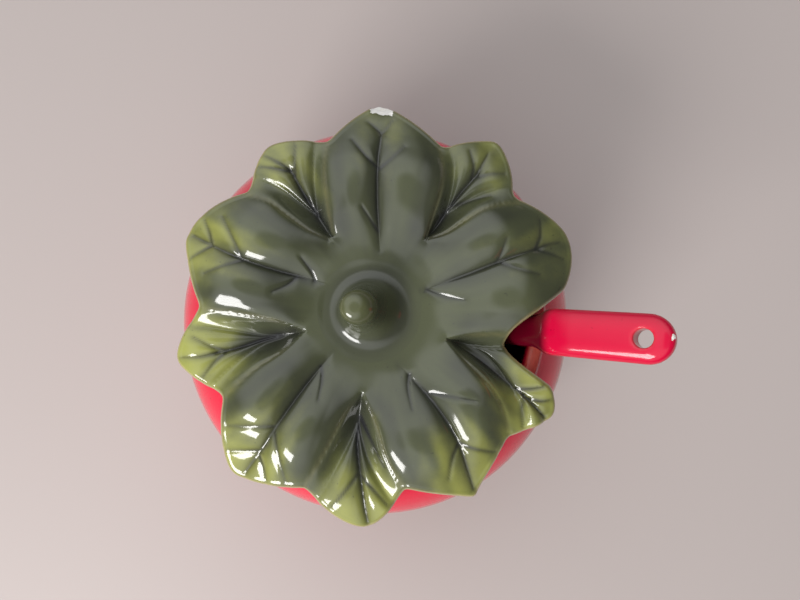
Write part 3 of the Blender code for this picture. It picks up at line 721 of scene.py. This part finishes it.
# The slopes are in degrees from level. The chip is a place along, across and above the handle, measured from
# the middle of its end. The joined shape is remeshed by the voxel and then smoothed.
ladle = {
    "mouth": 39.0, "shankGap": 0.6, "shankSlope": 63.0, "shankWidth": 7.8, "shankThick": 4.8, "roundIn": 4.0,
    "bendAboveLip": 11.8, "handleSlope": 36.0, "handleWidth": 11.0, "handleThick": 5.8, "handleLength": 26.0,
    "square": 2.7,   # how square the section's corners are: 2 is an ellipse
    "holeRadius": 2.1, "holeInset": 6.1, "bowlRadius": 17.2, "bowlDepth": 15.0, "bowlWall": 2.8,
    "bowlSink": 1.0, "voxel": 0.36, "smoothing": 9, "chip": (-0.7, 0.6, 1.2), "chipRadius": 0.7,
    # how far below the bend the section starts and stops widening; the painted shade below the bend, where
    # the shank sits in the lid's notch, sets in between two distances from it, measured along a slant
    "widen": (6.5, 1), "shadeSlant": (0.5, 0.86), "shadeLimit": (0.4, -3.2),
    "look": {"base": (0.53, 0.002, 0.034, 1), "deep": (0.08, 0.001, 0.007, 1), "thin": (0.85, 0.26, 0.20, 1),
             "clay": (0.86, 0.83, 0.78, 1), "stain": (0.62, 0.52, 0.42, 1), "mottleScale": 60.0,
             "mottle": 0.3, "specks": 0.3, "gloss": 0.06, "haze": 0.10, "specular": 0.32,
             "wave": 0.00004, "peel": 0.000004},
}


# middle of the shank at a height: a straight line that just clears the jar's lip
def shankX(z, p):
    slope = math.radians(p["shankSlope"])
    start = p["mouth"] - p["shankGap"] - p["shankThick"] / 2 / math.sin(slope)
    return start + (z - lipTop + body["lipHeight"] / 2) / math.tan(slope)


# handle and shank: a rounded square section carried along a straight shank, a quadratic bend and a
# straight handle, whose last half width narrows as a half circle
def handleRings(p, bowlTop):
    steep, gentle = math.radians(p["shankSlope"]), math.radians(p["handleSlope"])
    alongShank = np.array((math.cos(steep), math.sin(steep)))
    alongHandle = np.array((math.cos(gentle), math.sin(gentle)))
    bendZ = lipTop + p["bendAboveLip"]
    corner = np.array((shankX(bendZ, p), bendZ))
    footZ = bowlTop - p["bowlSink"]
    foot = np.array((shankX(footZ, p), footZ))
    begin, finish = corner - alongShank * p["roundIn"], corner + alongHandle * p["roundIn"]
    noseStart = finish + alongHandle * (p["handleLength"] - p["roundIn"] - p["handleWidth"] / 2)
    t = np.linspace(0, 1, 60)[:, None]
    u = np.linspace(0, 1, 14)[1:, None]
    shank = foot * (1 - t) + begin * t
    bend = (1 - u) ** 2 * begin + 2 * u * (1 - u) * corner + u * u * finish
    straight = finish * (1 - t[1:]) + noseStart * t[1:]
    turn = np.radians(np.linspace(0, 84, 16)[1:])
    nose = noseStart + alongHandle * (p["handleWidth"] / 2 * np.sin(turn))[:, None]
    middle = np.vstack((shank, bend, straight, nose))
    change = np.concatenate((0 * t[:, 0], u[:, 0], 1 + 0 * t[1:, 0], 1 + 0 * turn))
    shrink = np.concatenate((np.ones(len(middle) - len(turn)), np.cos(turn)))
    slope = steep + (gentle - steep) * change
    widening = ramp(bendZ - p["widen"][0], bendZ - p["widen"][1], middle[:, 1])
    width = (p["shankWidth"] + (p["handleWidth"] - p["shankWidth"]) * widening) * shrink
    thick = (p["shankThick"] + (p["handleThick"] - p["shankThick"]) * change) * shrink ** 0.5
    a = np.linspace(0, 2 * math.pi, 48, endpoint=False)
    across = np.sign(np.cos(a)) * np.abs(np.cos(a)) ** (2 / p["square"]) * width[:, None] / 2
    up = np.sign(np.sin(a)) * np.abs(np.sin(a)) ** (2 / p["square"]) * thick[:, None] / 2
    x = middle[:, :1] - up * np.sin(slope)[:, None]
    z = middle[:, 1:] + up * np.cos(slope)[:, None]
    hole = noseStart + alongHandle * (p["handleWidth"] / 2 - p["holeInset"])
    return np.stack((x, across, z), axis=-1), hole, gentle


# the ladle is the carried handle joined to a turned cup, with the hole cut, then remeshed and smoothed
def makeLadle(p):
    bowlTop = ladleBottom + p["bowlDepth"]
    bendZ = lipTop + p["bendAboveLip"]
    bendX = shankX(bendZ, p)
    rings, hole, tilt = handleRings(p, bowlTop)
    handle = ringMesh("handle_shape", rings, {})
    bowlX = shankX(bowlTop, p) - p["bowlRadius"] + p["bowlWall"] * 0.6
    outer, wall = p["bowlRadius"], p["bowlWall"]
    cup = np.vstack((
        arcPoints((0, 0), (outer - wall, p["bowlDepth"] - wall), 272, 358, 34),
        arcPoints((outer - wall / 2, 0), (wall / 2, wall / 2), 176, 4, 12),
        arcPoints((0, 0), (outer, p["bowlDepth"]), -2, -88, 36)))
    x, y, z = turned(cup, np.linspace(0, 2 * math.pi, 110, endpoint=False))
    bowl = ringMesh("bowl_shape", np.stack((x + bowlX, y, z + bowlTop), axis=-1), {})
    rod = np.stack(turned(np.array(((p["holeRadius"], -9.0), (p["holeRadius"], 9.0))),
                          np.linspace(0, 2 * math.pi, 48, endpoint=False)), axis=-1)
    # the rod is turned to stand square to the handle and moved to the hole's middle
    rod = np.stack((rod[..., 0] * math.cos(tilt) - rod[..., 2] * math.sin(tilt) + hole[0], rod[..., 1],
                    rod[..., 0] * math.sin(tilt) + rod[..., 2] * math.cos(tilt) + hole[1]), axis=-1)
    pin = ringMesh("hole_shape", rod, {})
    for tool, operation in ((bowl, "UNION"), (pin, "DIFFERENCE")):
        cut = handle.modifiers.new(operation.lower(), "BOOLEAN")
        cut.operation, cut.solver, cut.object = operation, "EXACT", tool
    remesh = handle.modifiers.new("remesh", "REMESH")
    remesh.mode, remesh.voxel_size = "VOXEL", p["voxel"] * mm
    smooth = handle.modifiers.new("smooth", "SMOOTH")
    smooth.factor, smooth.iterations = 0.5, p["smoothing"]
    mesh = bpy.data.meshes.new_from_object(handle.evaluated_get(bpy.context.evaluated_depsgraph_get()))
    for shape in (handle, bowl, pin):
        bpy.data.objects.remove(shape)
    mesh.name = "ladle_glazed"
    mesh.shade_smooth()
    mesh.materials.clear()
    spoon = bpy.data.objects.new("ladle_glazed", mesh)
    bpy.context.scene.collection.objects.link(spoon)
    place = np.empty(len(mesh.vertices) * 3, np.float32)
    mesh.vertices.foreach_get("co", place)
    x, y, z = place.reshape(-1, 3).T / mm
    # along and above the handle, from the hole's middle
    along = (x - hole[0]) * math.cos(tilt) + (z - hole[1]) * math.sin(tilt)
    above = -(x - hole[0]) * math.sin(tilt) + (z - hole[1]) * math.cos(tilt)
    fromHole = np.hypot(along, y)
    onHandle = ramp(lipTop + 6, lipTop + 12, z)
    rim = bell(fromHole - p["holeRadius"] - 0.15, 0.35) * onHandle
    chipAt = (p["holeInset"] + p["chip"][0], *p["chip"][1:])
    chip = np.sqrt((along - chipAt[0]) ** 2 + (y - chipAt[1]) ** 2 + (above - chipAt[2]) ** 2)
    chip += 0.2 * handmade(x, y, z, 1.2, 31)
    fromBowl = np.hypot(x - bowlX, y)
    inBowl = (z < bowlTop + 0.5) * (fromBowl < outer - wall * 0.4)
    # painted shade on the shank below the bend, where it sits in the lid's notch
    slant = p["shadeSlant"]
    pastBend = (x - bendX) * slant[0] + (z - bendZ) * slant[1]
    onBrim = ramp(bowlTop + 0.5, bowlTop + 1.2, z) * ramp(bowlTop + 3, bowlTop + 2, z)
    # glaze is deep in the hole and low in the bowl, the shank below the bend is painted dark as shade, and
    # glaze is thin round the hole and on the brim
    setMarks(mesh, {
        "pool": np.clip(0.8 * ramp(2.4, 1.2, fromHole) * onHandle
                        + 0.4 * inBowl * ramp(bowlTop, bowlTop - 12, z)
                        + ramp(*p["shadeLimit"], pastBend), 0, 1),
        "edge": np.clip(0.10 * rim * (above > 0)
                        + 0.4 * bell(fromBowl - outer + wall / 2, 0.8) * onBrim, 0, 1),
        "bare": ramp(p["chipRadius"] + 0.15, p["chipRadius"] - 0.15, chip),
        "sun": 0 * z,
    })
    spoon.data.materials.append(glazeMaterial("ladleGlaze", p["look"]))
    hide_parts("ladle")
    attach(spoon, "spoon")
    print("ladle made,", len(mesh.polygons), "faces")


makeLadle(ladle)


studio = {
    "floorSize": 3.0, "floor": (0.415, 0.362, 0.345, 1), "floorRoughness": 0.55, "floorSpecular": 0.25,
    # the window: direction round and above the jar in degrees, distance, width and height in metres,
    # radiance and colour; and the height above the table that it faces, in metres
    "window": (-122, 35, 0.75, 0.36, 0.27, 13.5, (1.0, 0.985, 0.97)), "facing": 0.05,
    # the room round it: colour and plain level; two brighter sides, each as a direction, a level and the
    # cosine at which it starts, both full at the same cosine; and the patch overhead with its level, start
    # and full cosine
    "room": (0.96, 0.98, 1.0, 1), "plain": 0.10,
    "sides": (((122, 50), 1.55, 0.48), ((-110, 46), 1.45, 0.60)), "sideFull": 0.97,
    "overhead": (0.40, 0.90, 0.99),
    # camera: place in mm, how far the view is turned, and how far it leans right and up, in degrees
    "eye": (2.557, -5.535, 222.6), "turn": 5.65, "leanRight": 1.53, "leanUp": 3.72, "lens": 27.0,
}


# the table is one pale, fairly matt square
def makeFloor(p):
    half = p["floorSize"] / 2
    mesh = bpy.data.meshes.new("floor")
    corners = [(-half, -half, 0), (half, -half, 0), (half, half, 0), (-half, half, 0)]
    mesh.from_pydata(corners, [], [(0, 1, 2, 3)])
    floor = bpy.data.objects.new("floor", mesh)
    bpy.context.scene.collection.objects.link(floor)
    material = bpy.data.materials.new("paleTable")
    material.use_nodes = True
    shader = material.node_tree.nodes["Principled BSDF"]
    shader.inputs["Base Color"].default_value = p["floor"]
    shader.inputs["Roughness"].default_value = p["floorRoughness"]
    shader.inputs["Specular IOR Level"].default_value = p["floorSpecular"]
    mesh.materials.append(material)


# direction at an angle round and an angle above the jar, in degrees
def direction(azimuth, elevation):
    a, e = math.radians(azimuth), math.radians(elevation)
    return Vector((math.cos(a) * math.cos(e), math.sin(a) * math.cos(e), math.sin(e)))


# the window is an area light in a direction from the jar, facing it; four times the area times the wanted
# radiance is the power that gives that radiance
def makeWindow(p):
    azimuth, elevation, distance, width, height, radiance, colour = p["window"]
    back = direction(azimuth, elevation)
    light = bpy.data.lights.new("window", "AREA")
    light.shape = "RECTANGLE"
    light.size, light.size_y = width, height
    light.energy = 4 * width * height * radiance
    light.color = colour
    lamp = bpy.data.objects.new("window", light)
    lamp.location = Vector((0, 0, p["facing"])) + back * distance
    lamp.rotation_euler = (-back).to_track_quat("-Z", "Y").to_euler()
    bpy.context.scene.collection.objects.link(lamp)


# soft surroundings: a plain level, two wide brighter sides with no edge, laid over it one after the other by
# the cosine of the angle from their middles, and over them a patch overhead
def makeWorld(p):
    world = bpy.data.worlds.new("room")
    world.use_nodes = True
    tree = world.node_tree
    place = tree.nodes.new("ShaderNodeTexCoord").outputs["Generated"]
    level = p["plain"]
    for side, strength, start in p["sides"]:
        toward = tree.nodes.new("ShaderNodeVectorMath")
        toward.operation = "DOT_PRODUCT"
        tree.links.new(place, toward.inputs[0])
        toward.inputs[1].default_value = direction(*side)
        share = between(tree, toward.outputs["Value"], start, p["sideFull"])
        level = mix(tree, share, level, strength, "FLOAT")
    split = tree.nodes.new("ShaderNodeSeparateXYZ")
    tree.links.new(place, split.inputs[0])
    overhead, start, full = p["overhead"]
    level = mix(tree, between(tree, split.outputs["Z"], start, full), level, overhead, "FLOAT")
    tree.links.new(level, tree.nodes["Background"].inputs["Strength"])
    tree.nodes["Background"].inputs["Color"].default_value = p["room"]
    bpy.context.scene.world = world


# looks down from the eye, a little off straight
def makeCamera(p):
    turn, leanRight, leanUp = (math.radians(p[key]) for key in ("turn", "leanRight", "leanUp"))
    right, up = Vector((math.cos(turn), math.sin(turn), 0)), Vector((-math.sin(turn), math.cos(turn), 0))
    look = right * math.tan(leanRight) + up * math.tan(leanUp) - Vector((0, 0, 1))
    look.normalize()
    up = (up - look * up.dot(look)).normalized()
    right = look.cross(up)
    lens = bpy.data.cameras.new("overhead")
    lens.lens, lens.sensor_width = p["lens"], 36.0
    lens.clip_start, lens.clip_end = 0.005, 20.0
    camera = bpy.data.objects.new("overhead", lens)
    facing = Matrix((right, up, -look)).transposed().to_4x4()
    camera.matrix_world = Matrix.Translation(Vector(p["eye"]) * mm) @ facing
    bpy.context.scene.collection.objects.link(camera)
    bpy.context.scene.camera = camera


makeFloor(studio)
makeWindow(studio)
makeWorld(studio)
makeCamera(studio)
bpy.context.scene.view_settings.view_transform = "Standard"
print("floor, lights and camera made")
